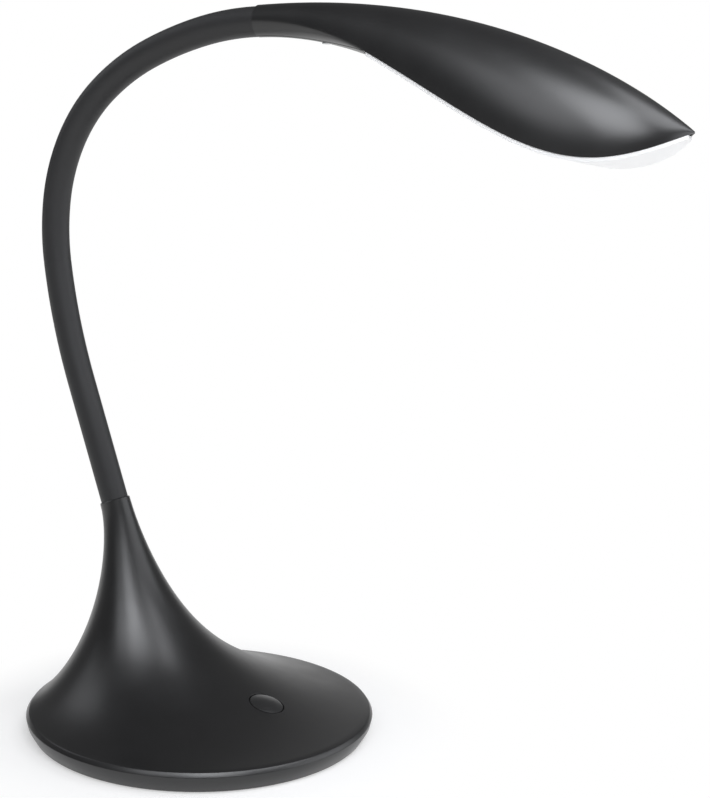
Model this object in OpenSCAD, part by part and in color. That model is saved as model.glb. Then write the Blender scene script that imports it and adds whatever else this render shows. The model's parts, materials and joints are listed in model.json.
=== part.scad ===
// Gooseneck desk lamp: a round weighted base that rises into a horn, a bendable neck
// in a soft sleeve, and a leaf-shaped head with an opal diffuser underneath.
// The origin is the middle of the base on the table, +X points to the head, +Z up.

/* [Base] */
// Diameter of the base at its widest line
base_d = 180; // [160:1:210]
// Height of the widest line above the table
base_belly_h = 8.8; // [8:0.1:11]
// How far the lower edge draws in from the widest line
base_foot_in = 3.4; // [2:0.1:5]
// Width and height of the bevel above the widest line
base_bevel = [1.5, 2.0]; // [1:0.1:3]
// Wall of the base and horn moulding
base_wall = 2.2; // [1.8:0.1:2.8]
// Thickness of the soft mat under the base
mat_t = 1.2; // [0.8:0.1:1.6]
// Thickness of the bottom cover
cover_t = 1.8; // [1.4:0.1:2.2]
// Thickness of the steel weight
ballast_t = 5; // [4:0.1:5.2]

/* [Horn] */
// Height of the horn's mouth, where the neck leaves it
horn_h = 112.4; // [100:0.5:125]
// How far behind the middle of the base the mouth lies
horn_back = 58.4; // [50:0.5:64]
// Lean of the mouth to the back, in degrees
horn_lean = 20.5; // [15:0.5:25]
// Diameter of the horn at its mouth
horn_mouth_d = 16; // [15.6:0.1:18]
// Front sweep: how long it follows the neck, and how long it follows the rim
horn_front_pull = [71.5, 85]; // [60:0.5:95]
// Back sweep: how long it follows the neck, and how long it follows the rim
horn_back_pull = [35.5, 24]; // [15:0.5:45]
// Rise of the surface at the rim, front and back, in degrees
horn_rim_rise = [3, 37]; // [0:1:45]

/* [Neck] */
// Outer diameter of the soft sleeve
sleeve_d = 14.4; // [13.6:0.1:14.8]
// Wall of the soft sleeve
sleeve_wall = 1.85; // [1.6:0.05:1.9]
// Outer diameter of the steel conduit
conduit_d = 9.6; // [9:0.1:9.8]
// Bore of the steel conduit
conduit_bore_d = 5; // [4.6:0.1:5.4]
// Length of each of the lengths the neck bends in
link_l = 33.0; // [28:0.1:36]
// Bend of each length at rest, in degrees, from the horn to the head
link_turn = [0, 0, 5.5, 6, 15.5, 20.5, 23, 17, 10, 13]; // [0:0.5:24]
// Most that the neck can bend at each joint, in degrees
bend_max = 12; // [8:0.5:12]
// Diameter of each insulated lead
lead_d = 1.2; // [0.9:0.1:1.3]

/* [Button] */
// Distance of the button in front of the middle of the base
button_x = 39; // [34:0.5:46]
// Diameter of the button
button_d = 17.6; // [15:0.1:19]
// Height of the button's dome
button_dome = 1.3; // [0.8:0.1:1.8]
// Travel of the button
button_travel = 0.8; // [0.5:0.1:1]

/* [Head] */
// Length of the head from its collar to its tip
head_l = 212.8; // [190:1:235]
// How far the tip hangs below the neck's axis
head_drop = 51.4; // [44:0.5:58]
// Half width that the leaf's outline is drawn towards
head_pull_w = 62; // [50:1:70]
// Outer diameter of the head's stem at the collar
stem_d = 15.4; // [15:0.1:16]
// Length of the stem up to the diffuser
stem_l = 65; // [60:0.5:70]
// Wall of the head's shell
head_wall = 1.9; // [1.6:0.1:2.2]
// Thickness of the diffuser, and how far it stands proud of the shell
diffuser_t = [3.0, 1.8]; // [1.6:0.1:3.6]
// Length and width of the lamp board
led_board = [84, 26, 1.6]; // [1.2:0.1:90]
// Rows and columns of lamps
led_grid = [3, 8]; // [2:1:10]

/* [Hidden] */
$fn = 64;
round_sides = 48;      // sides of each ring of the horn
small_fn = 32;
gap = 0.3;             // clearance between pieces that move past each other
seat = 0.1;            // clearance between pieces that are seated

// Base
base_r = base_d / 2;
foot_r = base_r - base_foot_in;
foot_h = 0.5;                          // lower edge of the shell above the table
rim_r = base_r - base_bevel[0];
rim_h = base_belly_h + base_bevel[1];
base_in_r = foot_r - 1.6;              // inside of the shell's skirt
cover_r = base_in_r - 0.5;
cover_z = mat_t;
ballast_z = cover_z + cover_t;
ballast_top = ballast_z + ballast_t;
ballast_r = base_in_r - 5;

// Horn: a front and a back sweep in the plane y = 0, joined by round sections
mouth = [-horn_back, horn_h];
mouth_r = horn_mouth_d / 2;
lean_across = [cos(horn_lean), sin(horn_lean)];
lean_down = [sin(horn_lean), -cos(horn_lean)];
front_sweep = [
    mouth + mouth_r * lean_across,
    mouth + mouth_r * lean_across + horn_front_pull[0] * lean_down,
    [rim_r, rim_h] + horn_front_pull[1] * [-cos(horn_rim_rise[0]), sin(horn_rim_rise[0])],
    [rim_r, rim_h]
];
back_sweep = [
    mouth - mouth_r * lean_across,
    mouth - mouth_r * lean_across + horn_back_pull[0] * lean_down,
    [-rim_r, rim_h] + horn_back_pull[1] * [cos(horn_rim_rise[1]), sin(horn_rim_rise[1])],
    [-rim_r, rim_h]
];
horn_rings = 22;
horn_top_t = 0.17;                     // where the hollow of the horn ends
horn_rim_t = 0.93;                     // where its lining meets the skirt

// Neck
sleeve_r = sleeve_d / 2;
sleeve_in_r = sleeve_r - sleeve_wall;
sleeve_gap = sleeve_r * sin(bend_max) / 2 + 0.15;
conduit_r = conduit_d / 2;
bore_r = conduit_bore_d / 2;
ball_r = conduit_r - 0.2;
socket_r = ball_r + gap;
socket_lip = 2.2;                      // start of each length above its joint
lead_r = lead_d / 2;
lead_y = lead_r + seat;
lead_gap = 0.25;
links = len(link_turn);

// Bush that clamps the conduit in the horn, measured along the neck from the mouth
bush_r = 6;
bush_top = -8;
bush_l = 44;
sleeve_seat = 6;                       // depth of the sleeve in the mouth
boss_r = 8.4;
boss_low = -44;
boss_h = 22;
pocket_r = boss_r + 0.6;
pocket_h = 8;
washer_t = 1;
nut_t = 4;
nut_r = 8.5;
conduit_tail = bush_l - bush_top + 1;  // conduit below the mouth
spigot_r = conduit_r - 0.3;            // end of the conduit in the head

// Button, measured along its own axis from the surface
button_r = button_d / 2;
button_skirt = 2.8;
flange_t = 0.8;
flange_r = button_r + 1.1;
stem_tip = 0.9;
plunger_r = 1.7;
plunger_l = 1.9;
switch_size = [6, 6, 3.5];
switch_board_size = [12, 33, 1.2];
switch_post_y = 13.4;
switch_post_r = 2.6;

// Driver electronics on the weight
board_size = [50, 34, 1.6];
board_mid = [-(base_in_r - 47), 0];
board_hole = [board_size[0] / 2 - 3.5, board_size[1] / 2 - 3.5];
board_end = board_size[0] / 2;
plug_size = [5, 7, 6];                 // sockets on the driver board
spacer_h = 2.4;
board_z = ballast_top + spacer_h;
board_top = board_z + board_size[2];

// Power inlet
jack_z = 5.7;
jack_size = [12, 9, 5];
jack_nose_r = 2.5;
jack_bore_r = 1.7;
jack_x = -(base_in_r - 0.9);

// Screws
screw_r = 1.25;
screw_head_r = 2.5;
post_r = 3.6;
post_ring = base_in_r - 17;
post_at = [40, 140, 220, 320];

// Head, measured from the end of the neck
stem_r = stem_d / 2;
ridge_pull = 11.9;                     // height that the ridge is drawn towards
rim_pull = 70.7;                       // how long the rim follows the stem
leaf_waist = 6;                        // half width that the outline starts towards
ridge = [[0, stem_r + seat], [head_l * 0.565, ridge_pull], [head_l * 0.886, -head_drop * 0.62],
         [head_l, -head_drop]];
rim = [[stem_l, -head_drop * 0.341], [stem_l + rim_pull, -head_drop * 1.0255],
       [head_l * 0.785, -head_drop * 1.584], [head_l, -head_drop]];
leaf = [[0, stem_r - seat], [head_l * 0.345, leaf_waist], [head_l * 0.862, head_pull_w],
        [head_l, 0]];
head_steps = 30;
head_points = 24;
stem_end = 1.7;                        // depth of the stem below its rim, at the diffuser
stem_bow = 1.84;                       // how late the stem's rim bends down
stem_taper = 1.46;                     // how late the stem gets shallow
stem_wrap = 70;                        // how far the shell wraps under the stem, in degrees
wrap_late = 4;                         // how late that wrap runs out to the rim
diffuser_end = 2.2;                    // the diffuser stops this far before the tip
clamp_l = 13;
clamp_r = stem_r - head_wall - 0.35;
clamp_screw_x = [4, 9.5];
board_back = 16.9;                     // lamp board behind the middle of the diffuser
board_rise = [3.43, 8.7];              // clearance over the rim at its two ends
board_span = led_board[0] * 0.4;
board_x = (stem_l + head_l) / 2 - board_back;
board_ends = [mid_z(board_x - board_span) + board_rise[0], mid_z(board_x + board_span) + board_rise[1]];
board_slope = atan2(board_ends[0] - board_ends[1], 2 * board_span);
board_at = [board_x, (board_ends[0] + board_ends[1]) / 2];
plate_t = 1.5;
post_w = 2.4;                          // radius of the posts under the roof
roof_skin = 0.8;                       // wall left over the posts
fin_size = [led_board[0] - 40, 1.2, 6];
led_margin = [13, 4];                  // lamps' middles inside the board's edges
led_size = [3.5, 2.8, 0.8];
plate_hole = [[8 - led_board[0] / 2, 5 - led_board[1] / 2], [8 - led_board[0] / 2, led_board[1] / 2 - 5],
              [led_board[0] / 2 - 4, 0]];
socket_size = [3.2, 8, 3];
socket_x = -led_board[0] / 2 + 1;
stem_screw_x = stem_l - 28;

// ---------- curves ----------
function bez(p, t) = let(s = 1 - t)
    s * s * s * p[0] + 3 * s * s * t * p[1] + 3 * s * t * t * p[2] + t * t * t * p[3];
function bez_slope(p, t) = let(s = 1 - t)
    3 * s * s * (p[1] - p[0]) + 6 * s * t * (p[2] - p[1]) + 3 * t * t * (p[3] - p[2]);
// The curve's parameter at a given x, by halving
function bez_t(p, x, lo = 0, hi = 1, n = 24) = n == 0 ? (lo + hi) / 2 :
    let(mid = (lo + hi) / 2) bez(p, mid)[0] < x ? bez_t(p, x, mid, hi, n - 1)
                                                : bez_t(p, x, lo, mid, n - 1);
function bez_y(p, x) = bez(p, bez_t(p, x))[1];
function unit(v) = v / norm(v);

// Points of the two sweeps, set in by the wall
function front_at(t, inset) = let(d = unit(bez_slope(front_sweep, t)))
    bez(front_sweep, t) + inset * [d[1], -d[0]];
function back_at(t, inset) = let(d = unit(bez_slope(back_sweep, t)))
    bez(back_sweep, t) + inset * [-d[1], d[0]];
// A round section whose diameter runs between two points of the plane y = 0
function ring_between(f, b) = let(c = (f + b) / 2, r = norm(f - b) / 2, u = unit(f - b))
    [for (k = [0:round_sides - 1]) let(a = 360 * k / round_sides)
        [c[0] + r * cos(a) * u[0], r * sin(a), c[1] + r * cos(a) * u[1]]];
function level_ring(r, z) = ring_between([r, z], [-r, z]);
function horn_ring(t, inset) = ring_between(front_at(t, inset), back_at(t, inset));

// Height of the base's skin over a point of the table, by halving
function skin_gap(t, x, y) = let(f = front_at(t, 0), b = back_at(t, 0), c = (f + b) / 2)
    norm([x - c[0], y]) - norm(f - b) / 2;
function skin_t(x, y, lo = 0, hi = 1, n = 24) = n == 0 ? (lo + hi) / 2 :
    let(mid = (lo + hi) / 2) skin_gap(mid, x, y) > 0 ? skin_t(x, y, mid, hi, n - 1)
                                                     : skin_t(x, y, lo, mid, n - 1);
function skin_z(x, y) = let(t = skin_t(x, y), f = front_at(t, 0), b = back_at(t, 0), c = (f + b) / 2)
    c[1] + (x - c[0]) * (f[1] - b[1]) / (f[0] - b[0]);

// Joints of the neck: place and lean of the start of length i
function lean_at(i) = i == 0 ? horn_lean : lean_at(i - 1) - link_turn[i - 1];
function chord(turn) = turn == 0 ? [0, link_l] :
    let(r = link_l / (turn * PI / 180)) [r * (1 - cos(turn)), r * sin(turn)];
function joint_at(i) = i == 0 ? mouth :
    let(p = joint_at(i - 1), a = lean_at(i - 1), c = chord(link_turn[i - 1]))
    [p[0] + c[0] * cos(a) - c[1] * sin(a), p[1] + c[0] * sin(a) + c[1] * cos(a)];
collar = joint_at(links);
button_slope = let(d = bez_slope(front_sweep, bez_t(front_sweep, button_x))) -atan2(d[1], d[0]);
button_z = bez_y(front_sweep, button_x);

// Head sections
function stem_u(x) = max(0, min(1, x / stem_l));
function mid_z(x) = x < stem_l ? rim[0][1] * pow(stem_u(x), stem_bow) : bez_y(rim, x);
function top_z(x) = bez_y(ridge, x);
function half_w(x) = bez_y(leaf, x);
function under_h(x) = stem_r - gap - (stem_r - gap - stem_end) * pow(stem_u(x), stem_taper);
function wrap_at(x) = stem_wrap * (1 - pow(stem_u(x), wrap_late));
function inset_to(size, wall) = max(size - wall, size * 0.35);
// A point of the head's section at x, at angle a round it, set in by a wall
function head_pt(x, a, wall) = let(
        w = inset_to(half_w(x), wall),
        up = inset_to(top_z(x) - mid_z(x), wall),
        down = inset_to(under_h(x), wall))
    [x, w * cos(a), mid_z(x) + (sin(a) > 0 ? up : down) * sin(a)];
function head_x(k, n, from, to) = from + (to - from) * (1 - pow(1 - k / n, 1.5));
function roof_z(x, y) = mid_z(x) + (top_z(x) - mid_z(x)) * sqrt(max(0, 1 - pow(y / half_w(x), 2)));
function board_pt(x, z) = [board_at[0] + x * cos(board_slope) + z * sin(board_slope),
                           board_at[1] - x * sin(board_slope) + z * cos(board_slope)];
// What is left over the rim of a post that ends at z over the lamp board, and over an upright one
function roof_left(x, y, z) = min([for (a = [0:45:315])
    let(p = board_pt(x + post_w * cos(a), z)) roof_z(p[0], y + post_w * sin(a)) - p[1]]);
function roof_low(x) = min([for (a = [0:45:315]) roof_z(x + post_w * cos(a), post_w * sin(a))]);
// Length of a post that stands on the lamp board and ends inside the wall of the head's roof
function roof_reach(x, y, lo = 0, hi = 45, n = 20) = n == 0 ? lo :
    let(mid = (lo + hi) / 2)
    roof_left(x, y, mid) > roof_skin ? roof_reach(x, y, mid, hi, n - 1)
                                     : roof_reach(x, y, lo, mid, n - 1);

// ---------- shapes ----------
// Closed skin through rings that each have as many points. A ring that isn't convex is
// closed in strips, between each point and the one as far from the ring's other end.
module skin(rings, strips = false) {
    n = len(rings[0]);
    m = len(rings);
    last = (m - 1) * n;
    polyhedron(
        points = [for (r = rings, p = r) p],
        faces = concat(
            strips ? [for (k = [0:n / 2 - 2]) [k, k + 1, n - 2 - k, n - 1 - k]]
                   : [[for (k = [0:n - 1]) k]],
            [for (i = [0:m - 2], k = [0:n - 1]) let(k2 = (k + 1) % n)
                [i * n + k, (i + 1) * n + k, (i + 1) * n + k2]],
            [for (i = [0:m - 2], k = [0:n - 1]) let(k2 = (k + 1) % n)
                [i * n + k, (i + 1) * n + k2, i * n + k2]],
            strips ? [for (k = [0:n / 2 - 2])
                         [last + n - 1 - k, last + n - 2 - k, last + k + 1, last + k]]
                   : [[for (k = [n - 1:-1:0]) last + k]]));
}

module on_neck(i) {
    p = joint_at(i);
    translate([p[0], 0, p[1]]) rotate([0, -lean_at(i), 0]) children();
}

module at_mouth() { on_neck(0) children(); }

// Sweeps a flat shape along one length of the neck, between two set-backs from its ends
module along_link(turn, from, to) {
    if (turn == 0) {
        translate([0, 0, from]) linear_extrude(link_l - from - to) children();
    } else {
        r = link_l / (turn * PI / 180);
        a = turn * from / link_l;
        b = turn * to / link_l;
        translate([r, 0, 0]) rotate([0, 0, 180]) rotate([90, 0, 0]) rotate([0, 0, a])
            rotate_extrude(angle = turn - a - b) translate([r, 0]) children();
    }
}

module at_link_end(turn) {
    c = chord(turn);
    translate([c[0], 0, c[1]]) rotate([0, turn, 0]) children();
}

module tube2d(r, bore) {
    difference() {
        circle(r);
        circle(bore);
    }
}

// The ball that each length of conduit ends in, let a little into the tube
module ball_end() {
    rotate_extrude() intersection() {
        circle(ball_r);
        translate([bore_r + 0.3, -0.5]) square([ball_r, ball_r + 0.5]);
    }
}

module sleeve(i) {
    from = i == 0 ? -sleeve_seat : sleeve_gap;
    to = i == links - 1 ? seat : sleeve_gap;
    color("#3a3a3c") on_neck(i) along_link(link_turn[i], from, to)
        tube2d(sleeve_r, sleeve_in_r);
}

module conduit(i) {
    last = i == links - 1;
    color("#9a9ca0") on_neck(i) {
        difference() {
            union() {
                along_link(link_turn[i], i == 0 ? -conduit_tail : socket_lip, 0)
                    tube2d(conduit_r, bore_r);
                at_link_end(link_turn[i])
                    if (last) translate([0, 0, -0.5]) linear_extrude(clamp_l + 0.5)
                        tube2d(spigot_r, bore_r + 0.1);
                    else ball_end();
            }
            if (i > 0) sphere(socket_r);
        }
    }
}

module lead(i) {
    from = i == 0 ? -conduit_tail : lead_gap;
    to = i == links - 1 ? 0 : lead_gap;
    for (side = [-1, 1])
        color(side < 0 ? "#b02020" : "#202020") on_neck(i)
            along_link(link_turn[i], from, to) translate([0, side * lead_y]) circle(lead_r, $fn = 24);
}

// A wire through a list of points, as a skin with a ring at each of them
function wire_dir(p, k) = k == 0 ? unit(p[1] - p[0]) :
    k == len(p) - 1 ? unit(p[k] - p[k - 1]) : unit(unit(p[k + 1] - p[k]) + unit(p[k] - p[k - 1]));
function wire_ring(c, t, r) = let(u = unit([0, 1, 0] - t[1] * t), v = cross(t, u))
    [for (k = [0:11]) c + r * (cos(30 * k) * u + sin(30 * k) * v)];
module wire(points, r) {
    skin([for (k = [0:len(points) - 1]) wire_ring(points[k], wire_dir(points, k), r)]);
}

// ---------- base ----------
module screw_posts() {
    for (a = post_at) {
        p = post_ring * [cos(a), sin(a)];
        out = (post_ring + post_r) * [cos(a), sin(a)];
        translate([p[0], p[1], ballast_z])
            cylinder(r = post_r, h = skin_z(out[0], out[1]) - 1.0 - ballast_z);
    }
}

function button_pt(x, y, z) = [button_x + x * cos(button_slope) + z * sin(button_slope), y,
                              button_z - x * sin(button_slope) + z * cos(button_slope)];
module at_button() { translate([button_x, 0, button_z]) rotate([0, button_slope, 0]) children(); }
switch_top = -(button_skirt + flange_t + stem_tip + plunger_l) + 0.9;
switch_base = switch_top - switch_size[2];

module base_shell() {
    color("#2b2b2d") difference() {
        union() {
            skin(concat(
                [for (k = [0:horn_rings - 5])
                    horn_ring(horn_top_t + (horn_rim_t - horn_top_t) * k / (horn_rings - 5), base_wall)],
                [level_ring(base_in_r, rim_h - base_wall), level_ring(base_in_r, foot_h),
                 level_ring(foot_r, foot_h), level_ring(base_r - 0.8, base_belly_h * 0.6),
                 level_ring(base_r, base_belly_h)],
                [for (k = [horn_rings:-1:0]) horn_ring(pow(k / horn_rings, 0.85), 0)]));
            at_mouth() translate([0, 0, boss_low]) cylinder(r = boss_r, h = boss_h);
            screw_posts();
            at_button() for (s = [-1, 1]) translate([0, s * switch_post_y, switch_base])
                cylinder(r = switch_post_r, h = -switch_base - 0.9);
            for (s = [-1, 1])
                translate([-base_in_r - 0.8, s * (jack_size[1] / 2 + 1) - 0.7, ballast_z + seat])
                    cube([jack_size[0] + 1, 1.4, 6.5]);
        }
        at_mouth() {
            translate([0, 0, boss_low - 3]) cylinder(r = bush_r + seat, h = boss_h - boss_low);
            translate([0, 0, boss_low - pocket_h]) cylinder(r = pocket_r, h = pocket_h);
            translate([0, 0, -sleeve_seat - seat]) cylinder(r = sleeve_r + seat, h = 20);
        }
        at_button() {
            translate([0, 0, -6]) cylinder(r = button_r + gap, h = 12);
            for (s = [-1, 1]) translate([0, s * switch_post_y, switch_base - 1])
                cylinder(r = 1.0 + seat / 2, h = 6);
        }
        for (a = post_at) rotate([0, 0, a]) translate([post_ring, 0, ballast_z - 1])
            cylinder(r = screw_r + seat / 2, h = 8.5);
        translate([-base_r - 1, 0, jack_z]) rotate([0, 90, 0]) cylinder(r = jack_nose_r + seat, h = 12);
    }
}

module base_cover() {
    color("#1f1f20") difference() {
        translate([0, 0, cover_z]) cylinder(r = cover_r, h = cover_t, $fn = 96);
        for (a = post_at) rotate([0, 0, a]) translate([post_ring, 0, cover_z]) {
            translate([0, 0, -1]) cylinder(r = screw_r + 0.2, h = 6);
            translate([0, 0, -1]) cylinder(r = screw_head_r + 0.2, h = 2.0);
        }
    }
}

module base_mat() {
    color("#161617") cylinder(r = cover_r - 0.8, h = mat_t, $fn = 96);
}

module ballast_plate() {
    color("#6f7276") difference() {
        translate([0, 0, ballast_z]) cylinder(r = ballast_r, h = ballast_t, $fn = 96);
        for (a = post_at) rotate([0, 0, a]) translate([post_ring, 0, ballast_z - 1])
            cylinder(r = post_r + 0.5, h = ballast_t + 2);
        translate([-base_r, -jack_size[1] / 2 - 2.4, ballast_z - 1])
            cube([base_r + jack_x + jack_size[0] + 8, jack_size[1] + 4.8, ballast_t + 2]);
        translate([button_x - 10.5, -switch_board_size[1] / 2 - 1.5, ballast_z - 1])
            cube([16, switch_board_size[1] + 3, ballast_t + 2]);
        for (sx = [-1, 1], sy = [-1, 1])
            translate([board_mid[0] + sx * board_hole[0], sy * board_hole[1], ballast_z + 1])
                cylinder(r = 1.0 + seat / 2, h = ballast_t + 1);
    }
}

module cover_screws() {
    color("#8d9095") for (a = post_at) rotate([0, 0, a]) translate([post_ring, 0, cover_z]) {
        translate([0, 0, 0.2]) cylinder(r = screw_head_r, h = 0.8);
        cylinder(r = screw_r, h = cover_t + 6.5);
    }
}

// ---------- neck seat ----------
module neck_bush() {
    color("#b9a56a") at_mouth() difference() {
        translate([0, 0, bush_top - bush_l]) cylinder(r = bush_r, h = bush_l);
        translate([0, 0, bush_top - bush_l - 1]) cylinder(r = conduit_r + seat / 2, h = bush_l + 2);
    }
}

module bush_washer() {
    color("#a5a8ad") at_mouth() difference() {
        translate([0, 0, boss_low - washer_t]) cylinder(r = boss_r, h = washer_t);
        translate([0, 0, boss_low - 3]) cylinder(r = bush_r + seat, h = 6);
    }
}

module bush_nut() {
    color("#a5a8ad") at_mouth() difference() {
        translate([0, 0, boss_low - washer_t - nut_t]) cylinder(r = nut_r, h = nut_t, $fn = 6);
        translate([0, 0, boss_low - 10]) cylinder(r = bush_r + seat / 2, h = 12);
    }
}

// ---------- button and switch ----------
module switch_button() {
    dome_r = (button_r * button_r + button_dome * button_dome) / (2 * button_dome);
    color("#303032") at_button() {
        intersection() {
            translate([0, 0, -button_skirt - 0.01])
                cylinder(r = button_r, h = button_skirt + button_dome + 1);
            translate([0, 0, button_dome - dome_r]) sphere(dome_r, $fn = 128);
        }
        translate([0, 0, -button_skirt - flange_t]) cylinder(r = flange_r, h = flange_t);
        translate([0, 0, -button_skirt - flange_t - stem_tip]) cylinder(r = 2, h = stem_tip + 0.1);
    }
}

module switch_plunger() {
    color("#c8c8c8") at_button()
        translate([0, 0, -button_skirt - flange_t - stem_tip - plunger_l])
            cylinder(r = plunger_r, h = plunger_l);
}

module switch_body() {
    well = plunger_l - 0.9 + button_travel + 0.3;
    color("#2a2a2a") at_button() difference() {
        translate([-switch_size[0] / 2, -switch_size[1] / 2, switch_base])
            cube(switch_size);
        translate([0, 0, switch_top - well]) cylinder(r = plunger_r + seat, h = well + 1);
    }
}

module switch_board() {
    color("#2f5d3a") at_button() difference() {
        translate([-switch_board_size[0] / 2, -switch_board_size[1] / 2,
                   switch_base - switch_board_size[2]]) cube(switch_board_size);
        for (s = [-1, 1]) translate([0, s * switch_post_y, switch_base - 4])
            cylinder(r = 1.2, h = 6, $fn = small_fn);
    }
}

// ---------- electronics ----------
module at_board() { translate([board_mid[0], board_mid[1], board_top]) children(); }

module driver_board() {
    color("#2f5d3a") difference() {
        translate([board_mid[0] - board_size[0] / 2, -board_size[1] / 2, board_z]) cube(board_size);
        for (sx = [-1, 1], sy = [-1, 1])
            translate([board_mid[0] + sx * board_hole[0], sy * board_hole[1], board_z - 1])
                cylinder(r = 1.2, h = 4, $fn = small_fn);
    }
}

module board_spacers() {
    color("#d9d9d2") for (sx = [-1, 1], sy = [-1, 1])
        translate([board_mid[0] + sx * board_hole[0], sy * board_hole[1], ballast_top]) difference() {
            cylinder(r = 2.4, h = spacer_h, $fn = small_fn);
            translate([0, 0, -1]) cylinder(r = 1.15, h = spacer_h + 2, $fn = small_fn);
        }
}

module board_screws() {
    color("#8d9095") {
        for (sx = [-1, 1], sy = [-1, 1])
            translate([board_mid[0] + sx * board_hole[0], sy * board_hole[1], 0]) {
                translate([0, 0, ballast_z + 1.6])
                    cylinder(r = 1, h = board_top - ballast_z - 1.5, $fn = small_fn);
                translate([0, 0, board_top]) cylinder(r = 2.1, h = 1.3, $fn = small_fn);
            }
        at_button() for (s = [-1, 1])
            translate([0, s * switch_post_y, switch_base - switch_board_size[2]]) {
                translate([0, 0, -0.6]) cylinder(r = 1, h = 5.6, $fn = small_fn);
                translate([0, 0, -1.3]) cylinder(r = 2.1, h = 1.3, $fn = small_fn);
            }
    }
}

module driver_coil() {
    color("#5a4a3a") at_board() translate([-9, 8, 0]) difference() {
        cylinder(r = 5.2, h = 5.5);
        translate([0, 0, 4.6]) cylinder(r = 2.2, h = 2);
    }
}

module driver_capacitors() {
    color("#2c3e68") at_board() {
        translate([-9, -8, 0]) cylinder(r = 4, h = 9);
        translate([2, -9.5, 0]) cylinder(r = 3.15, h = 7);
    }
}

module driver_parts() {
    color("#1c1c1e") at_board() {
        translate([0, 2, 0]) cube([5, 4, 1.5]);
        translate([0, 9, 0]) cube([4.4, 2.6, 1.8]);
        for (k = [0:2]) translate([8, 3 + 3.2 * k, 0]) cube([2, 1.25, 0.6]);
    }
    color("#e8e4d8") at_board() {
        translate([1 - board_end, -plug_size[1] / 2, 0]) cube(plug_size);
        translate([board_end - 9.5, -9, 0]) cube(plug_size);
        translate([board_end - 12.5, 3.5, 0]) cube(plug_size);
    }
}

module dc_jack() {
    color("#1a1a1b") {
        difference() {
            union() {
                translate([jack_x, -jack_size[1] / 2, jack_z - jack_size[2] / 2]) cube(jack_size);
                translate([-base_r + 1.6, 0, jack_z]) rotate([0, 90, 0])
                    cylinder(r = jack_nose_r, h = base_r - 1.6 + jack_x + 0.5);
            }
            translate([-base_r, 0, jack_z]) rotate([0, 90, 0])
                cylinder(r = jack_bore_r, h = base_r + jack_x + jack_size[0] - 2);
        }
        translate([-base_r + 3, 0, jack_z]) rotate([0, 90, 0])
            cylinder(r = 0.55, h = base_r - 3 + jack_x + jack_size[0] - 1.5, $fn = 24);
    }
}

module base_leads() {
    tail = conduit_tail + seat;
    out = [mouth[0] + tail * sin(horn_lean), 0, mouth[1] - tail * cos(horn_lean)];
    back = jack_x + jack_size[0];
    color("#202022") {
        for (s = [-1, 1]) {
            wire([[back + seat, s * 1.2, jack_z], [back + 3.0, s * 1.2, jack_z],
                  [board_mid[0] - board_end - 1.4, s * 1.2, board_top + 4],
                  [board_mid[0] - board_end + 1 - seat, s * 1.2, board_top + 4]], lead_r);
            wire([out + [0, s * lead_y, 0], out + [4, s * 1.1, -12],
                  [board_mid[0] + board_end - 7, -5.5 + s * 1.2, board_top + 16],
                  [board_mid[0] + board_end - 7, -5.5 + s * 1.2,
                   board_top + plug_size[2] + seat]], lead_r);
            wire([[board_mid[0] + board_end - 7.5 + seat, 7 + s * 1.2, board_top + 3],
                  [board_mid[0] + board_end + 5, 7 + s * 1.2, board_top + 1],
                  [button_x - 18, 7 + s * 1.2, ballast_top + 1.4],
                  button_pt(-9, 7 + s * 1.2, switch_base - switch_board_size[2] / 2),
                  button_pt(-switch_board_size[0] / 2 - seat, 7 + s * 1.2,
                            switch_base - switch_board_size[2] / 2)], lead_r);
        }
    }
}

// ---------- head ----------
module at_collar() { translate([collar[0], 0, collar[1]]) children(); }

function shell_ring(x) = let(a0 = -wrap_at(x), span = 180 + 2 * wrap_at(x)) concat(
    [for (k = [0:head_points]) head_pt(x, a0 + span * k / head_points, 0)],
    [for (k = [head_points:-1:0]) head_pt(x, a0 + span * k / head_points, head_wall)]);

module on_lamp_board(z = 0) {
    translate([board_at[0], 0, board_at[1]]) rotate([0, board_slope, 0]) translate([0, 0, z]) children();
}

module head_shell() {
    post_foot = led_board[2] + plate_t;
    color("#2b2b2d") at_collar() difference() {
        union() {
            skin([for (k = [0:head_steps])
                shell_ring(min(head_x(k, head_steps, 0, head_l), head_l - 0.6))], true);
            for (h = plate_hole) on_lamp_board(post_foot) translate([h[0], h[1], 0])
                rotate([0, 0, 17])
                cylinder(r = post_w, h = roof_reach(h[0], h[1]) - post_foot, $fn = small_fn);
            translate([stem_screw_x, 0, mid_z(stem_screw_x) - under_h(stem_screw_x) + 3])
                rotate([0, 0, 17]) cylinder(r = post_w, $fn = small_fn,
                    h = roof_low(stem_screw_x) - roof_skin - mid_z(stem_screw_x)
                        + under_h(stem_screw_x) - 3);
        }
        for (h = plate_hole) on_lamp_board(post_foot - 1) translate([h[0], h[1], 0])
            rotate([0, 0, 17]) cylinder(r = 0.95 + seat / 2, h = 7, $fn = small_fn);
        translate([stem_screw_x, 0, mid_z(stem_screw_x) - under_h(stem_screw_x)])
            cylinder(r = 0.95 + seat / 2, h = 10, $fn = small_fn);
    }
}

// Lower side of the stem: fills the slot that the shell leaves underneath
module stem_cover() {
    steps = 14;
    n = 14;
    end = stem_l - 0.8;
    wall = 1.6;
    color("#2b2b2d") at_collar() difference() {
        translate([0, 0, -0.15])
            skin([for (k = [0:steps]) let(x = end * k / steps,
                    a0 = 180 + wrap_at(x) + 4, span = 172 - 2 * wrap_at(x))
                concat([for (j = [0:n]) head_pt(x, a0 + span * j / n, 0)],
                       [for (j = [n:-1:0]) head_pt(x, a0 + span * j / n, wall)])], true);
        translate([stem_screw_x, 0, mid_z(stem_screw_x) - under_h(stem_screw_x) - 1]) {
            cylinder(r = 1.2, h = 6, $fn = small_fn);
            cylinder(r = 2.2, h = 1.6, $fn = small_fn);
        }
    }
}

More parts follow.
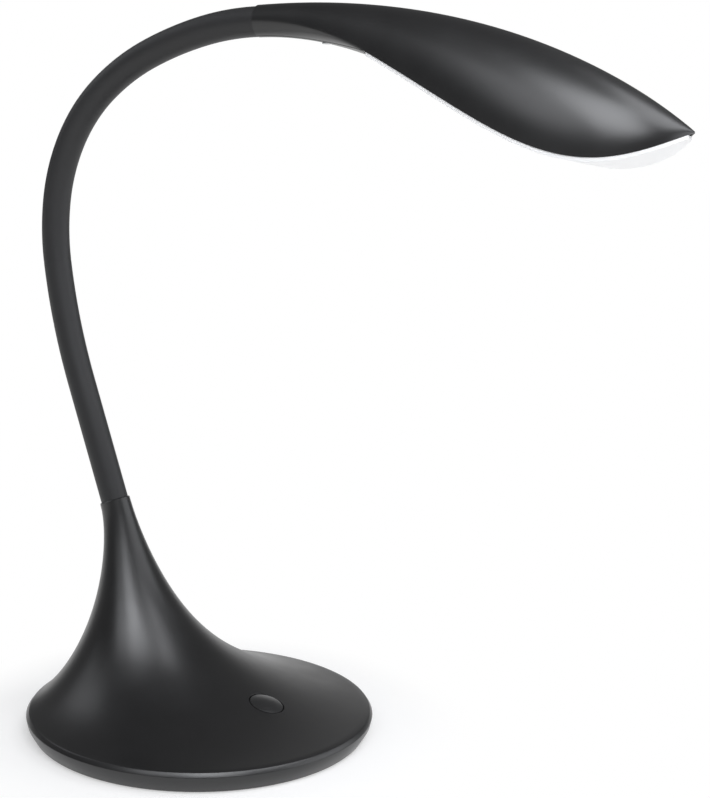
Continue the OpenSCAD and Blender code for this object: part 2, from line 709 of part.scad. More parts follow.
function diffuser_ring(x) = let(
        w = max(half_w(x) - 0.35, 0.25), win = max(half_w(x) - head_wall - 0.3, 0.12),
        z = mid_z(x), low = z - diffuser_t[1],
        high = z + min(diffuser_t[0] - diffuser_t[1], inset_to(top_z(x) - z, head_wall) - 0.2),
        r = min(0.7, w * 0.4))
    [[x, -w / 3, low - 0.15], [x, -w + r, low], [x, -w + r * 0.3, low + r * 0.3],
     [x, -w, low + r], [x, -w, z - 0.16], [x, -win, z - 0.12], [x, -win, high],
     [x, win, high], [x, win, z - 0.12], [x, w, z - 0.16], [x, w, low + r],
     [x, w - r * 0.3, low + r * 0.3], [x, w - r, low], [x, w / 3, low - 0.15]];

module diffuser() {
    steps = 30;
    color("#f4f4f2") at_collar()
        skin([for (k = [steps:-1:0])
            diffuser_ring(head_x(k, steps, stem_l + 0.1, head_l - diffuser_end))], true);
}

module plate_shape(l, w) {
    intersection() {
        translate([-l / 2, -w / 2]) square([l, w]);
        translate([-l / 2 + w * 0.62, 0]) union() {
            circle(w * 0.62);
            translate([0, -w / 2]) square([l, w]);
        }
    }
}

module led_board() {
    color("#e9ece8") at_collar() on_lamp_board() difference() {
        linear_extrude(led_board[2]) plate_shape(led_board[0], led_board[1]);
        for (h = plate_hole) translate([h[0], h[1], -1])
            cylinder(r = 1.15, h = led_board[2] + 2, $fn = small_fn);
    }
}

module heat_plate() {
    color("#b4b7bb") at_collar() on_lamp_board(led_board[2]) difference() {
        union() {
            linear_extrude(plate_t) plate_shape(led_board[0] + 2, led_board[1] + 2);
            for (s = [-1, 1])
                translate([-fin_size[0] / 2, s * (led_board[1] / 2 - 0.2) - fin_size[1] / 2, 0])
                    cube(fin_size);
        }
        translate([-led_board[0], -socket_size[1] / 2 - 0.6, -1])
            cube([led_board[0] + socket_x + socket_size[0] + 0.4, socket_size[1] + 1.2, 8]);
        for (h = plate_hole) translate([h[0], h[1], -1])
            cylinder(r = 1.15, h = plate_t + 2, $fn = small_fn);
    }
}

module leds() {
    pitch = [(led_board[0] - 2 * led_margin[0]) / (led_grid[1] - 1),
             (led_board[1] - 2 * led_margin[1]) / (led_grid[0] - 1)];
    color("#f1d36a") at_collar() on_lamp_board(-led_size[2])
        for (i = [0:led_grid[1] - 1], j = [0:led_grid[0] - 1])
            translate([(i - (led_grid[1] - 1) / 2) * pitch[0] - led_size[0] / 2,
                       (j - (led_grid[0] - 1) / 2) * pitch[1] - led_size[1] / 2, 0])
                cube(led_size);
}

module head_clamp() {
    color("#b9a56a") at_collar() difference() {
        translate([seat, 0, 0]) rotate([0, 90, 0]) cylinder(r = clamp_r, h = clamp_l);
        translate([-1, 0, 0]) rotate([0, 90, 0]) cylinder(r = spigot_r + seat / 2, h = clamp_l + 3);
        for (x = clamp_screw_x) translate([x, 0, -10]) cylinder(r = 0.9, h = 10, $fn = small_fn);
    }
}

// Socket for the leads on the lamp board
module head_socket() {
    color("#e8e4d8") at_collar() on_lamp_board(led_board[2])
        translate([socket_x, -socket_size[1] / 2, 0]) cube(socket_size);
}

module head_screws() {
    post_foot = led_board[2] + plate_t;
    color("#8d9095") at_collar() {
        for (h = plate_hole) on_lamp_board() translate([h[0], h[1], 0]) {
            translate([0, 0, -1.2]) cylinder(r = 2, h = 1.2, $fn = small_fn);
            translate([0, 0, -0.6]) cylinder(r = 0.95, h = post_foot + 5.6, $fn = small_fn);
        }
        translate([stem_screw_x, 0, mid_z(stem_screw_x) - under_h(stem_screw_x)]) {
            translate([0, 0, -0.3]) cylinder(r = 2, h = 0.9, $fn = small_fn);
            cylinder(r = 0.95, h = 8, $fn = small_fn);
        }
        for (x = clamp_screw_x) translate([x, 0, -spigot_r - 1.15])
            cylinder(r = 0.85, h = 1.1, $fn = small_fn);
    }
}

module head_leads() {
    into = board_pt(socket_x - seat, led_board[2] + socket_size[2] / 2);
    before = board_pt(socket_x - 6, led_board[2] + socket_size[2] / 2);
    color("#b02020") at_collar() for (s = [-1, 1])
        wire([[seat, s * lead_y, 0], [clamp_l + 1, s * 1.1, 0], [clamp_l + 10, s * 4.6, -1],
              [stem_l - 19, s * 4.6, -5], [before[0], s * 2, before[1]],
              [into[0], s * 2, into[1]]], lead_r);
}

base_shell();
base_cover();
base_mat();
ballast_plate();
cover_screws();
neck_bush();
bush_washer();
bush_nut();
switch_button();
switch_plunger();
switch_body();
switch_board();
driver_board();
board_spacers();
board_screws();
driver_coil();
driver_capacitors();
driver_parts();
dc_jack();
base_leads();
head_shell();
stem_cover();
diffuser();
led_board();
heat_plate();
leds();
head_clamp();
head_socket();
head_screws();
head_leads();
for (i = [1:links]) {
    sleeve(i - 1);
    conduit(i - 1);
    lead(i - 1);
}
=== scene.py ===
"""Dresses the gooseneck desk lamp: smooth mouldings, one soft sleeve over the neck, finishes and a stage."""
import json
import math

import bmesh
import bpy
from mathutils import Matrix, Vector


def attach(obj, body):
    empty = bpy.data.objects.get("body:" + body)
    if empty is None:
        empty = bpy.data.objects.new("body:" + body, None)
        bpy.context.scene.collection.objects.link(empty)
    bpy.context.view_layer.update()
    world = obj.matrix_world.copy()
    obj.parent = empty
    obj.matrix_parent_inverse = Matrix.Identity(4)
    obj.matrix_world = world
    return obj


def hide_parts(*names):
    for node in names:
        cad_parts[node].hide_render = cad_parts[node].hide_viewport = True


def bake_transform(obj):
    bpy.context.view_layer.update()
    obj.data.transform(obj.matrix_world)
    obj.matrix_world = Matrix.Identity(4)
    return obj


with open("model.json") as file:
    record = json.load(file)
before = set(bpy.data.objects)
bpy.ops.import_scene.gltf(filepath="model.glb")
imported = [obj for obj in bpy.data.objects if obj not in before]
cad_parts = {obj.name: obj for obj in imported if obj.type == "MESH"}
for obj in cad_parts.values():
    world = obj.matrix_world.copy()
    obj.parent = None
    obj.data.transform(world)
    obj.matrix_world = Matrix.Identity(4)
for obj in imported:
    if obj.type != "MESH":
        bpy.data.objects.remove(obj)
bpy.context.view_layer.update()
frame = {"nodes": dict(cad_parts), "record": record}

bl_info = {
    "name": "Gooseneck desk lamp",
    "version": (1, 0, 0),
    "blender": (4, 5, 0),
    "location": "3D View > Sidebar > Desk lamp",
    "description": "Builds the mouldings, sleeve, finishes and stage of a gooseneck desk lamp",
    "category": "Object",
}

MM = 0.001
LINKS = 10
# Parting the sleeve at such a joint avoids a tear at any pose. Over the other joints the sleeve is one stretch,
# and joints 6, 7 and 9, and rarely 5, tear at some poses. Turning the blend round only avoids it at the poses of
# the pose files: joints 6, 7 and 9, and rarely 5, still tear at others.
SPLIT_JOINTS = (3, 4)  # the sleeve ends in a ball here, with a lip round it
TURNED_JOINTS = (9,)  # at these joints the ends are listed with the upper body first
BLEND_SHARE = 0.9  # where the ends next to a joint are put, as a share of each half length
STRAIGHT = 1e-6  # a turn under this, in radians, is straight
SLEEVE_SIDES, SLEEVE_STEPS, BALL_STEPS = 64, 12, 10
IN_HORN = 6 * MM  # how deep the sleeve starts inside the horn
JOINT_GAP = 0.6 * MM  # room on each side of a parted joint, for 9 degrees
BALL_SET_IN, BALL_CLEARANCE = 0.05 * MM, 0.03 * MM  # ball under the sleeve's skin, and lip over the ball
BALL_REACH, LIP_REACH = 3.3 * MM, 4.8 * MM  # how far ball and lip's hollow reach past the joint
INLET_RADIUS, INLET_HEIGHT = 2.6 * MM, 5.7 * MM
BLOCK_FLOOR, BLOCK_SPLIT, BLOCK_HALF_WIDTH = -0.13, -0.105, 0.045  # of the tool that parts the head

# Camera: where it stands, and how it is turned
EYE = (0.35479, -0.55849, 0.2637)
HEADING, PITCH, ROLL = math.radians(26.0), math.radians(7.65), math.radians(2.33)
FOCAL_PIXELS, PICTURE_PIXELS, SENSOR_WIDTH = 1300.0, 710.0, 36.0

# Lamps: name, heading, height in degrees, size in m, glow
LAMP_AIM, LAMP_FAR, LAMP_COLOUR = Vector((0.0, 0.0, 0.16)), 1.15, (0.945, 0.962, 1.0)
LAMPS = (
    ("key_box", -48, 51, (0.62, 0.72), 6.2),
    ("front_box", -92, 44, (0.5, 0.55), 2.5),
    ("right_box", 14, 52, (0.7, 0.6), 3.5),
    ("low_box", 26, 16, (1.2, 0.5), 1.7),
    ("left_box", -172, 38, (0.5, 0.6), 1.25),
)


# ---------------------------------------------------------------- sizes and colours
class BaseSizes(bpy.types.PropertyGroup):
    """Sizes of the base, the horn and the push button"""

    width: bpy.props.FloatProperty(
        name="Base diameter", description="Base at its widest line", default=0.180, unit="LENGTH"
    )
    belly: bpy.props.FloatProperty(
        name="Belly height", description="Height of the widest line", default=0.0088, unit="LENGTH"
    )
    foot_in: bpy.props.FloatProperty(
        name="Foot set-in", description="How far the lower edge draws in", default=0.0034, unit="LENGTH"
    )
    bevel: bpy.props.FloatVectorProperty(
        name="Rim bevel",
        description="Width and height of the bevel",
        size=2,
        default=(0.0015, 0.002),
        unit="LENGTH",
    )
    wall: bpy.props.FloatProperty(
        name="Wall", description="Wall of the moulding", default=0.0022, unit="LENGTH"
    )
    mouth: bpy.props.FloatVectorProperty(
        name="Mouth of the horn",
        description="How far back the neck leaves the horn, and how high",
        size=2,
        default=(0.0584, 0.1124),
        unit="LENGTH",
    )
    mouth_width: bpy.props.FloatProperty(
        name="Mouth diameter", description="Horn at its mouth", default=0.016, unit="LENGTH"
    )
    lean: bpy.props.FloatProperty(
        name="Lean", description="Lean of the mouth to the back", default=math.radians(20.5), subtype="ANGLE"
    )
    front_pull: bpy.props.FloatVectorProperty(
        name="Front sweep",
        description="How long it follows the neck, and the rim",
        size=2,
        default=(0.0715, 0.085),
        unit="LENGTH",
    )
    back_pull: bpy.props.FloatVectorProperty(
        name="Back sweep",
        description="How long it follows the neck, and the rim",
        size=2,
        default=(0.0355, 0.024),
        unit="LENGTH",
    )
    rise: bpy.props.FloatVectorProperty(
        name="Rise at the rim",
        description="Rise of the surface at the rim, front and back",
        size=2,
        default=(math.radians(3), math.radians(37)),
        subtype="EULER",
    )
    button_place: bpy.props.FloatProperty(
        name="Button place", description="Button in front of the middle", default=0.039, unit="LENGTH"
    )
    button_width: bpy.props.FloatProperty(
        name="Button diameter", description="Push button", default=0.0176, unit="LENGTH"
    )
    button_dome: bpy.props.FloatProperty(
        name="Button dome", description="Height of the dome", default=0.0013, unit="LENGTH"
    )


class NeckSizes(bpy.types.PropertyGroup):
    """Sizes of the sleeve over the neck"""

    sleeve: bpy.props.FloatProperty(
        name="Sleeve diameter", description="Soft sleeve, outside", default=0.0144, unit="LENGTH"
    )
    wall: bpy.props.FloatProperty(
        name="Sleeve wall", description="Wall of the sleeve", default=0.00185, unit="LENGTH"
    )
    length: bpy.props.FloatProperty(
        name="Length of a bend", description="Length between two joints", default=0.033, unit="LENGTH"
    )
    turns: bpy.props.FloatVectorProperty(
        name="Bends",
        description="Bend of each length, in radians",
        size=LINKS,
        default=[math.radians(a) for a in (0, 0, 5.5, 6, 15.5, 20.5, 23, 17, 10, 13)],
    )


class HeadSizes(bpy.types.PropertyGroup):
    """Sizes of the head"""

    length: bpy.props.FloatProperty(
        name="Head length", description="From the collar to the tip", default=0.2128, unit="LENGTH"
    )
    drop: bpy.props.FloatProperty(
        name="Tip drop", description="Tip below the neck's axis", default=0.0514, unit="LENGTH"
    )
    pull_width: bpy.props.FloatProperty(
        name="Leaf pull", description="Half width that the outline is drawn to", default=0.062, unit="LENGTH"
    )
    stem: bpy.props.FloatProperty(
        name="Stem diameter", description="Stem at the collar", default=0.0154, unit="LENGTH"
    )
    stem_length: bpy.props.FloatProperty(
        name="Stem length", description="Stem up to the diffuser", default=0.065, unit="LENGTH"
    )
    stem_end: bpy.props.FloatProperty(
        name="Stem end", description="Depth of the stem at the diffuser", default=0.0017, unit="LENGTH"
    )
    bow: bpy.props.FloatVectorProperty(
        name="Stem lines",
        description="How late the stem bends down, gets shallow, and loses the shell's wrap",
        size=3,
        default=(1.84, 1.46, 4.0),
    )
    wall: bpy.props.FloatProperty(
        name="Wall", description="Wall of the shell", default=0.0019, unit="LENGTH"
    )
    diffuser: bpy.props.FloatProperty(
        name="Diffuser edge", description="How far the diffuser stands proud", default=0.0018, unit="LENGTH"
    )
    wrap: bpy.props.FloatProperty(
        name="Stem wrap",
        description="How far the shell wraps under the stem",
        default=math.radians(70),
        subtype="ANGLE",
    )


class LampColours(bpy.types.PropertyGroup):
    """Colours of what shows"""

    body: bpy.props.FloatVectorProperty(
        name="Body", description="Moulded plastic", size=3, default=(0.006, 0.006, 0.0065), subtype="COLOR"
    )
    button: bpy.props.FloatVectorProperty(
        name="Button", description="Push button", size=3, default=(0.014, 0.014, 0.0145), subtype="COLOR"
    )
    sleeve: bpy.props.FloatVectorProperty(
        name="Sleeve", description="Soft sleeve", size=3, default=(0.016, 0.016, 0.017), subtype="COLOR"
    )
    diffuser: bpy.props.FloatVectorProperty(
        name="Diffuser", description="Opal plastic", size=3, default=(0.94, 0.94, 0.935), subtype="COLOR"
    )
    floor: bpy.props.FloatVectorProperty(
        name="Floor", description="Floor and backdrop", size=3, default=(0.9, 0.895, 0.885), subtype="COLOR"
    )


# ---------------------------------------------------------------- curves
def curve_point(p, t):
    s = 1 - t
    return p[0] * s**3 + p[1] * (3 * s * s * t) + p[2] * (3 * s * t * t) + p[3] * t**3


def curve_slope(p, t):
    s = 1 - t
    return (p[1] - p[0]) * (3 * s * s) + (p[2] - p[1]) * (6 * s * t) + (p[3] - p[2]) * (3 * t * t)


def curve_at_x(p, x):
    """The curve's parameter at a given x, by halving"""
    lo, hi = 0.0, 1.0
    for _ in range(40):
        mid = (lo + hi) / 2
        if curve_point(p, mid).x < x:
            lo = mid
        else:
            hi = mid
    return (lo + hi) / 2


class Horn:
    """The horn's two sweeps in the plane y = 0; a Vector here is (x, z)"""

    def __init__(self, s):
        self.s = s
        self.r = s.width / 2
        self.foot = self.r - s.foot_in
        self.rim = (self.r - s.bevel[0], s.belly + s.bevel[1])
        self.mouth = Vector((-s.mouth[0], s.mouth[1]))
        across = Vector((math.cos(s.lean), math.sin(s.lean)))
        down = Vector((math.sin(s.lean), -math.cos(s.lean)))
        mr = s.mouth_width / 2
        rim_front, rim_back = Vector(self.rim), Vector((-self.rim[0], self.rim[1]))
        front, back = self.mouth + across * mr, self.mouth - across * mr
        self.front = [
            front,
            front + down * s.front_pull[0],
            rim_front + Vector((-math.cos(s.rise[0]), math.sin(s.rise[0]))) * s.front_pull[1],
            rim_front,
        ]
        self.back = [
            back,
            back + down * s.back_pull[0],
            rim_back + Vector((math.cos(s.rise[1]), math.sin(s.rise[1]))) * s.back_pull[1],
            rim_back,
        ]

    def ring(self, t, inset=0.0):
        """(centre, tilt, radius) of the round section at t, set in by a wall"""
        a = curve_slope(self.front, t).normalized()
        b = curve_slope(self.back, t).normalized()
        f = curve_point(self.front, t) + Vector((a.y, -a.x)) * inset
        g = curve_point(self.back, t) + Vector((-b.y, b.x)) * inset
        d = f - g
        return (f + g) / 2, math.atan2(d.y, d.x), d.length / 2

    def button_seat(self):
        """Place and slope of the skin under the button"""
        t = curve_at_x(self.front, self.s.button_place)
        d = curve_slope(self.front, t)
        return Vector((self.s.button_place, 0, curve_point(self.front, t).y)), -math.atan2(d.y, d.x)


class Head:
    """The head's ridge, rim and outline, from the collar"""

    def __init__(self, s):
        self.s = s
        n, d = s.length, s.drop
        r = s.stem / 2
        self.ridge = [
            Vector((0, r + 0.1 * MM)),
            Vector((n * 0.565, 11.9 * MM)),
            Vector((n * 0.886, -d * 0.62)),
            Vector((n, -d)),
        ]
        self.rim = [
            Vector((s.stem_length, -d * 0.341)),
            Vector((s.stem_length + 70.7 * MM, -d * 1.0255)),
            Vector((n * 0.785, -d * 1.584)),
            Vector((n, -d)),
        ]
        self.leaf = [
            Vector((0, r - 0.1 * MM)),
            Vector((n * 0.345, 6 * MM)),
            Vector((n * 0.862, s.pull_width)),
            Vector((n, 0)),
        ]

    def mid(self, x):
        if x < self.s.stem_length:
            return self.rim[0].y * max(0.0, x / self.s.stem_length) ** self.s.bow[0]
        return curve_point(self.rim, curve_at_x(self.rim, x)).y

    def section(self, x, wall=0.0):
        """(half width, height of the widest line, rise above it, depth below it)"""
        u = min(1.0, x / self.s.stem_length)
        mid = self.mid(x)
        top = curve_point(self.ridge, curve_at_x(self.ridge, x)).y
        half = curve_point(self.leaf, curve_at_x(self.leaf, x)).y
        start = self.s.stem / 2 - 0.3 * MM
        under = start - (start - self.s.stem_end) * max(0.0, u) ** self.s.bow[1]
        return tuple(
            v if i == 1 else max(v - wall, v * 0.35)
            for i, v in enumerate((half, mid, top - mid, under))
        )

    def parting(self, x):
        """Height of the line where the shell meets the cover or the diffuser"""
        if x >= self.s.stem_length:
            return self.mid(x)
        x = max(0.0, x)
        _, mid, _, under = self.section(x)
        return mid - under * math.sin(self.s.wrap * (1 - (x / self.s.stem_length) ** self.s.bow[2]))

    def stations(self, start, end, steps):
        return [start + (end - start) * (1 - (1 - k / steps) ** 1.5) for k in range(steps + 1)]


def neck_joints(base, neck):
    """[(place, lean)] of the start of each length, and of the collar; a Vector is (x, z)"""
    place, lean = Vector((-base.mouth[0], base.mouth[1])), base.lean
    out = [(place, lean)]
    for turn in neck.turns:
        place, lean = along_neck(place, lean, turn, neck.length)
        out.append((place, lean))
    return out


def along_neck(place, lean, turn, length):
    """Place and lean after a stretch of the neck"""
    if abs(turn) < STRAIGHT:
        step = Vector((0, length))
    else:
        r = length / turn
        step = Vector((r * (1 - math.cos(turn)), r * math.sin(turn)))
    c, s = math.cos(lean), math.sin(lean)
    return place + Vector((step.x * c - step.y * s, step.x * s + step.y * c)), lean - turn


# ---------------------------------------------------------------- modelling by hand, in steps
def nothing_selected():
    if bpy.context.object and bpy.context.object.mode != "OBJECT":
        bpy.ops.object.mode_set(mode="OBJECT")
    bpy.ops.object.select_all(action="DESELECT")


def edit(select="SELECT"):
    bpy.ops.object.mode_set(mode="EDIT")
    bpy.ops.mesh.select_mode(type="VERT")
    bpy.ops.mesh.select_all(action=select)


def leave_edit():
    bpy.ops.object.mode_set(mode="OBJECT")


def ring_start(name, sides, centre, tilt, radius):
    """A circle across the plane y = 0, left in edit mode with all of it selected"""
    nothing_selected()
    bpy.ops.mesh.primitive_circle_add(
        vertices=sides, radius=radius, location=(centre.x, 0, centre.y), rotation=(0, -tilt, 0)
    )
    obj = bpy.context.object
    obj.name = obj.data.name = name
    bpy.ops.object.transform_apply(location=True, rotation=True, scale=True)
    edit()
    return obj


def ring_next(before, after):
    """Extrudes the selected ring to the next (centre, tilt, radius)"""
    (c0, t0, r0), (c1, t1, r1) = before, after
    about = (c1.x, 0, c1.y)
    bpy.ops.mesh.extrude_region_move(
        TRANSFORM_OT_translate={"value": (c1.x - c0.x, 0, c1.y - c0.y)}
    )
    if abs(t1 - t0) > 1e-7:
        bpy.ops.transform.rotate(
            value=t1 - t0, orient_axis="Y", orient_type="GLOBAL", center_override=about
        )
    if abs(r1 / r0 - 1) > 1e-7:
        k = r1 / r0
        bpy.ops.transform.resize(value=(k, k, k), center_override=about)


def ring_stack(name, sides, rings):
    """A closed round body through rings of (centre, tilt, radius)"""
    obj = ring_start(name, sides, *rings[0])
    for a, b in zip(rings, rings[1:]):
        ring_next(a, b)
    bpy.ops.mesh.select_all(action="SELECT")
    bpy.ops.mesh.fill_holes(sides=0)
    bpy.ops.mesh.select_all(action="SELECT")
    bpy.ops.mesh.normals_make_consistent(inside=False)
    leave_edit()
    return obj


def select_where(obj, test):
    """Selects the vertices that pass the test, by place"""
    mesh = bmesh.from_edit_mesh(obj.data)
    for v in mesh.verts:
        v.select = test(v.co)
    mesh.select_mode = {"VERT"}
    mesh.select_flush(True)
    mesh.select_flush_mode()
    bmesh.update_edit_mesh(obj.data)


def cut(obj, tool, how="DIFFERENCE"):
    """Cuts obj with the tool and throws the tool away"""
    nothing_selected()
    bpy.context.view_layer.objects.active = obj
    obj.select_set(True)
    cutter = obj.modifiers.new("cut", "BOOLEAN")
    cutter.operation = how
    cutter.solver = "EXACT"
    cutter.object = tool
    bpy.ops.object.modifier_apply(modifier=cutter.name)
    mesh = tool.data
    bpy.data.objects.remove(tool)
    bpy.data.meshes.remove(mesh)


def round_edges(obj, width, segments=2, angle=35):
    nothing_selected()
    bpy.context.view_layer.objects.active = obj
    obj.select_set(True)
    m = obj.modifiers.new("edges", "BEVEL")
    m.width, m.segments = width, segments
    m.limit_method, m.angle_limit = "ANGLE", math.radians(angle)
    m.use_clamp_overlap = True
    bpy.ops.object.modifier_apply(modifier=m.name)


def smooth(obj, angle=35):
    nothing_selected()
    bpy.context.view_layer.objects.active = obj
    obj.select_set(True)
    bpy.ops.object.shade_smooth_by_angle(angle=math.radians(angle))


def finished(obj, material, body, slot, *nodes):
    obj.data.materials.clear()
    obj.data.materials.append(material)
    if body:
        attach(obj, body)
    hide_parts(*nodes)
    return obj


def sizes():
    s = bpy.context.scene
    return s.lamp_base, s.lamp_neck, s.lamp_head, s.lamp_colours


# ---------------------------------------------------------------- materials
def node(tree, kind, at, **values):
    n = tree.nodes.new(kind)
    n.location = at
    for key, value in values.items():
        if key in n.inputs:
            n.inputs[key].default_value = value
        else:
            setattr(n, key, value)
    return n


def wire(tree, *pairs):
    """Joins each output to its input"""
    for output, entry in pairs:
        tree.links.new(output, entry)


def plastic(name, colour, rough=0.4, grain=900.0, depth=0.02, mottle=0.12, **more):
    """Moulded finish: fine spark-eroded grain, and a colour and gloss that vary a little"""
    m = bpy.data.materials.get(name)
    if m:
        return m
    m = bpy.data.materials.new(name)
    m.use_nodes = True
    t = m.node_tree
    shader = t.nodes["Principled BSDF"]
    for key, value in more.items():
        shader.inputs[key.replace("_", " ")].default_value = value
    place = node(t, "ShaderNodeTexCoord", (-1100, 0))
    broad = node(t, "ShaderNodeTexNoise", (-850, 200), Scale=38.0, Detail=4.0, Roughness=0.55)
    fine = node(t, "ShaderNodeTexNoise", (-850, -250), Scale=grain, Detail=3.0, Roughness=0.6)
    shade = node(t, "ShaderNodeMix", (-500, 200), data_type="RGBA")
    low = [c * (1 - mottle) for c in colour[:3]] + [1]
    high = [min(1, c * (1 + mottle)) for c in colour[:3]] + [1]
    shade.inputs[6].default_value, shade.inputs[7].default_value = low, high
    gloss = node(t, "ShaderNodeMapRange", (-500, -50))
    gloss.inputs["From Min"].default_value, gloss.inputs["From Max"].default_value = 0.3, 0.7
    gloss.inputs["To Min"].default_value = max(0.02, rough - 0.03)
    gloss.inputs["To Max"].default_value = rough + 0.03
    bump = node(t, "ShaderNodeBump", (-500, -300), Strength=depth * 10, Distance=0.00008)
    for n in (broad, fine):
        t.links.new(place.outputs["Object"], n.inputs["Vector"])
    wire(
        t,
        (broad.outputs["Fac"], shade.inputs[0]),
        (broad.outputs["Fac"], gloss.inputs["Value"]),
        (fine.outputs["Fac"], bump.inputs["Height"]),
        (shade.outputs[2], shader.inputs["Base Color"]),
        (gloss.outputs["Result"], shader.inputs["Roughness"]),
        (bump.outputs["Normal"], shader.inputs["Normal"]),
    )
    return m


def metal(name, colour, rough=0.3, grain=260.0, **more):
    return plastic(name, colour, rough, grain, 0.015, 0.06, Metallic=1.0, **more)


def laminate(name, colour):
    """Circuit board: solder mask over faint copper tracks"""
    m = bpy.data.materials.get(name)
    if m:
        return m
    m = plastic(name, colour, 0.35, 1500.0, 0.01, 0.08)
    t = m.node_tree
    shader = t.nodes["Principled BSDF"]
    place = next(n for n in t.nodes if n.type == "TEX_COORD")
    shade = next(n for n in t.nodes if n.type == "MIX")
    tracks = node(t, "ShaderNodeTexBrick", (-850, 500), Scale=160.0)
    tracks.inputs["Color1"].default_value = [c * 0.8 for c in colour] + [1]
    tracks.inputs["Color2"].default_value = [c * 0.9 for c in colour] + [1]
    tracks.inputs["Mortar"].default_value = [min(1, c * 1.6) for c in colour] + [1]
    tracks.inputs["Mortar Size"].default_value = 0.03
    both = node(t, "ShaderNodeMix", (-250, 350), data_type="RGBA")
    both.inputs[0].default_value = 0.45
    wire(
        t,
        (place.outputs["Object"], tracks.inputs["Vector"]),
        (shade.outputs[2], both.inputs[6]),
        (tracks.outputs["Color"], both.inputs[7]),
        (both.outputs[2], shader.inputs["Base Color"]),
    )
    return m


def finishes():
    """The finish of every material slot of the record"""
    c = sizes()[3]
    satin = {"rough": 0.34, "grain": 1400.0, "Specular_IOR_Level": 0.72}
    # The diffuser glows faintly though the lamp is off: painted light that lifts its shaded underside towards
    # white.
    painted_underside_glow = {"Emission_Strength": 0.12, "Emission_Color": (1, 1, 1, 1)}
    return {
        "body_plastic": plastic("satin_black_plastic", c.body, depth=0.012, **satin),
        "button_plastic": plastic("button_black_plastic", c.button, depth=0.01, **satin),
        "cover_plastic": plastic("cover_black_plastic", (0.012, 0.012, 0.012), 0.55, 900.0, 0.03),
        "mat_rubber": plastic("foot_mat_foam", (0.009, 0.009, 0.0095), 0.8, 700.0, 0.05),
        "weight_steel": metal("stamped_weight", (0.28, 0.29, 0.31), 0.45, 160.0),
        "screw_steel": metal("screw_zinc", (0.5, 0.51, 0.53), 0.28, 900.0),
        "sleeve_rubber": plastic("sleeve_soft_black", c.sleeve, 0.52, 1100.0, 0.02),
        "conduit_steel": metal("wound_conduit", (0.42, 0.43, 0.45), 0.33, 600.0),
        "brass": metal("turned_brass", (0.62, 0.45, 0.18), 0.25, 700.0),
        "board_laminate": laminate("green_laminate", (0.02, 0.11, 0.045)),
        "board_aluminium": laminate("white_lamp_board", (0.7, 0.71, 0.7)),
        "plate_aluminium": metal("pressed_heat_plate", (0.62, 0.63, 0.65), 0.38, 300.0),
        "led_resin": plastic("phosphor_resin", (0.8, 0.55, 0.08), 0.22, 1800.0, 0.01),
        "parts_plastic": plastic("parts_black", (0.01, 0.01, 0.01), 0.45, 1600.0, 0.02),
        "socket_plastic": plastic("natural_nylon", (0.66, 0.62, 0.52), 0.4, 1200.0, 0.02),
        "lead_insulation": plastic("dark_lead_jacket", (0.03, 0.018, 0.018), 0.45, 900.0, 0.02),
        "coil_copper": metal("coil_winding", (0.5, 0.22, 0.09), 0.35, 1900.0),
        "can_aluminium": metal("capacitor_can", (0.1, 0.14, 0.28), 0.3, 500.0),
        # The opal finish carries a painted glow, a faint emission that brightens the diffuser's shaded underside.
        "opal_plastic": plastic("opal_with_painted_glow", c.diffuser, 0.38, 600.0, 0.004, 0.01, **painted_underside_glow),
    }


# ---------------------------------------------------------------- pieces
class LAMP_OT_base(bpy.types.Operator):
    """Adds the base moulding with its horn, button hole and inlet hole"""

    bl_idname = "lamp.base"
    bl_label = "Base and horn"

    def execute(self, context):
        s = sizes()[0]
        h = Horn(s)
        in_r = h.foot - 1.6 * MM
        low = 0.5 * MM

        def level(r, z):
            return Vector((0, z)), 0.0, r

        def on_neck(down, r):
            step = Vector((math.sin(s.lean), -math.cos(s.lean))) * down
            return h.mouth + step, s.lean, r

        mr = s.mouth_width / 2
        rings = [h.ring(0.17 + 0.76 * k / 20, s.wall) for k in range(21)]
        rings += [level(in_r, h.rim[1] - s.wall), level(in_r, low + 0.3 * MM), level(in_r + 0.3 * MM, low)]
        rings += [level(h.foot - 0.4 * MM, low), level(h.foot, low + 0.35 * MM)]
        rings += [level(h.r - 0.8 * MM, s.belly * 0.6), level(h.r, s.belly)]
        rings += [h.ring((k / 56) ** 0.85) for k in range(56, 0, -1)]
        rings += [on_neck(0.35 * MM, mr), on_neck(0, mr - 0.35 * MM), on_neck(0.1 * MM, mr - 0.65 * MM)]
        rings += [on_neck(6.1 * MM, mr - 0.7 * MM), on_neck(6.1 * MM, 6.1 * MM), on_neck(9 * MM, 6.1 * MM)]
        obj = ring_stack("base_moulding", 128, rings)
        edit("DESELECT")
        edge = h.rim[0], h.rim[1]
        for r, z in ((h.r, s.belly), edge):
            select_where(
                obj, lambda p: abs(p.z - z) < 1e-5 and abs(math.hypot(p.x, p.y) - r) < 1e-5
            )
            bpy.ops.mesh.bevel(offset=0.2 * MM, segments=2, affect="EDGES")
        leave_edit()
        seat, slope = h.button_seat()
        hole = s.button_width / 2 + 0.3 * MM
        tool = ring_stack(
            "hole_tool",
            96,
            [
                (Vector((0, -6 * MM)), 0.0, hole),
                (Vector((0, -0.3 * MM)), 0.0, hole),
                (Vector((0, 0.5 * MM)), 0.0, hole + 0.5 * MM),
                (Vector((0, 4 * MM)), 0.0, hole + 0.5 * MM),
            ],
        )
        lay(tool, seat, slope)
        cut(obj, tool)
        nothing_selected()
        bpy.ops.mesh.primitive_cylinder_add(
            vertices=48,
            radius=INLET_RADIUS,
            depth=12 * MM,
            location=(-h.r, 0, INLET_HEIGHT),
            rotation=(0, math.pi / 2, 0),
        )
        tool = bpy.context.object
        bpy.ops.object.transform_apply(location=True, rotation=True, scale=True)
        cut(obj, tool)
        smooth(obj, 32)
        finished(obj, finishes()["body_plastic"], "base", "body_plastic", "base_shell")
        return {"FINISHED"}


